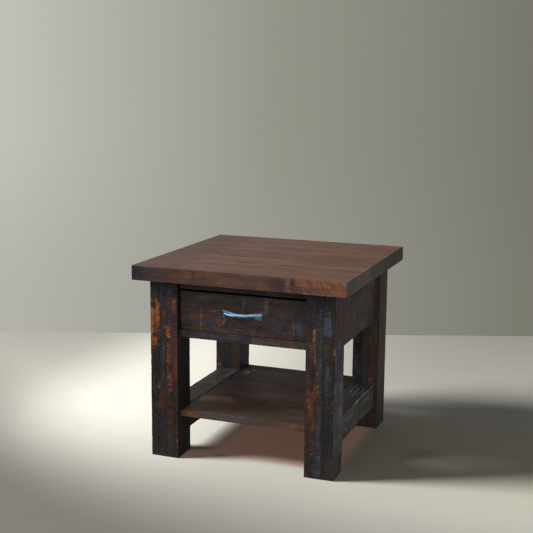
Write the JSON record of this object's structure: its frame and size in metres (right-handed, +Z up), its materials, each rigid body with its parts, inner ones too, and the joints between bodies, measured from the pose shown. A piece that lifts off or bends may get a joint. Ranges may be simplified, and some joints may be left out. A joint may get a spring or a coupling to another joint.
{
  "type": "side table",
  "caption": "Square rustic side table with thick laminated legs, an inset drawer on ball-bearing slides with a bow pull, and a lower shelf on stretchers.",
  "frame": {"origin": "on the floor, under the middle of the top", "axes": "+Z up, the front with the drawer faces -Y, +X to the right as seen from the front"},
  "size_m": [0.61, 0.61, 0.55],
  "materials": {
    "top_wood": "dark brown stain, satin",
    "amber_leg_wood": "dark stain worn through to amber, rough-sawn",
    "slate_leg_wood": "slate-grey stain, rough-sawn",
    "russet_leg_wood": "russet-brown stain, rough-sawn",
    "frame_wood": "dark brown stain, rough-sawn",
    "shelf_wood": "dark brown stain, satin",
    "drawer_front_wood": "dark grey-brown stain, rough-sawn",
    "drawer_box_wood": "clear-sealed pale wood",
    "pull_metal": "brushed, blue-silver",
    "slide_steel": "zinc plated",
    "cage_steel": "plain steel",
    "screw_steel": "zinc plated"
  },
  "bodies": {
    "table_frame": {"back_apron": "frame_wood", "back_left_leg_left_board": "amber_leg_wood", "back_left_leg_middle_board": "slate_leg_wood", "back_left_leg_right_board": "russet_leg_wood", "back_right_leg_left_board": "amber_leg_wood", "back_right_leg_middle_board": "slate_leg_wood", "back_right_leg_right_board": "russet_leg_wood", "front_bottom_rail": "frame_wood", "front_left_leg_left_board": "amber_leg_wood", "front_left_leg_middle_board": "slate_leg_wood", "front_left_leg_right_board": "russet_leg_wood", "front_right_leg_left_board": "amber_leg_wood", "front_right_leg_middle_board": "slate_leg_wood", "front_right_leg_right_board": "russet_leg_wood", "front_top_rail": "frame_wood", "left_apron": "frame_wood", "left_cabinet_member_back_screw": "screw_steel", "left_cabinet_member_front_screw": "screw_steel", "left_cleat_back_screw": "screw_steel", "left_cleat_front_screw": "screw_steel", "left_slide_cabinet_member": "slide_steel", "left_stretcher": "frame_wood", "left_top_cleat": "frame_wood", "right_apron": "frame_wood", "right_cabinet_member_back_screw": "screw_steel", "right_cabinet_member_front_screw": "screw_steel", "right_cleat_back_screw": "screw_steel", "right_cleat_front_screw": "screw_steel", "right_slide_cabinet_member": "slide_steel", "right_stretcher": "frame_wood", "right_top_cleat": "frame_wood", "shelf_board_1": "shelf_wood", "shelf_board_2": "shelf_wood", "shelf_board_3": "shelf_wood", "top_board_1": "top_wood", "top_board_2": "top_wood", "top_board_3": "top_wood", "top_board_4": "top_wood", "top_board_5": "top_wood"},
    "drawer": {"drawer_bottom_panel": "drawer_box_wood", "drawer_box_back": "drawer_box_wood", "drawer_box_front": "drawer_box_wood", "drawer_front": "drawer_front_wood", "drawer_left_side": "drawer_box_wood", "drawer_pull": "pull_metal", "drawer_right_side": "drawer_box_wood", "left_drawer_member_back_screw": "screw_steel", "left_drawer_member_front_screw": "screw_steel", "left_slide_drawer_member": "slide_steel", "pull_left_screw": "screw_steel", "pull_right_screw": "screw_steel", "right_drawer_member_back_screw": "screw_steel", "right_drawer_member_front_screw": "screw_steel", "right_slide_drawer_member": "slide_steel"},
    "left_middle_member": {"left_slide_middle_member": "slide_steel"},
    "right_middle_member": {"right_slide_middle_member": "slide_steel"},
    "left_outer_cage": {"left_slide_outer_ball_cage": "cage_steel"},
    "right_outer_cage": {"right_slide_outer_ball_cage": "cage_steel"},
    "left_inner_cage": {"left_slide_inner_ball_cage": "cage_steel"},
    "right_inner_cage": {"right_slide_inner_ball_cage": "cage_steel"}
  },
  "joints": [
    {"name": "drawer_slide", "type": "slide", "parent": "table_frame", "child": "drawer", "axis": [0, -1, 0], "range_m": [0, 0.42]},
    {"name": "left_middle_member_slide", "type": "slide", "parent": "table_frame", "child": "left_middle_member", "axis": [0, -1, 0], "range_m": [0, 0.21]},
    {"name": "right_middle_member_slide", "type": "slide", "parent": "table_frame", "child": "right_middle_member", "axis": [0, -1, 0], "range_m": [0, 0.21]},
    {"name": "left_outer_cage_slide", "type": "slide", "parent": "table_frame", "child": "left_outer_cage", "axis": [0, -1, 0], "range_m": [0, 0.105]},
    {"name": "right_outer_cage_slide", "type": "slide", "parent": "table_frame", "child": "right_outer_cage", "axis": [0, -1, 0], "range_m": [0, 0.105]},
    {"name": "left_inner_cage_slide", "type": "slide", "parent": "table_frame", "child": "left_inner_cage", "axis": [0, -1, 0], "range_m": [0, 0.315]},
    {"name": "right_inner_cage_slide", "type": "slide", "parent": "table_frame", "child": "right_inner_cage", "axis": [0, -1, 0], "range_m": [0, 0.315]}
  ],
  "couplings": [
    {"joint": "left_middle_member_slide", "follows": "drawer_slide", "ratio": 0.5},
    {"joint": "right_middle_member_slide", "follows": "drawer_slide", "ratio": 0.5},
    {"joint": "left_outer_cage_slide", "follows": "drawer_slide", "ratio": 0.25},
    {"joint": "right_outer_cage_slide", "follows": "drawer_slide", "ratio": 0.25},
    {"joint": "left_inner_cage_slide", "follows": "drawer_slide", "ratio": 0.75},
    {"joint": "right_inner_cage_slide", "follows": "drawer_slide", "ratio": 0.75}
  ]
}
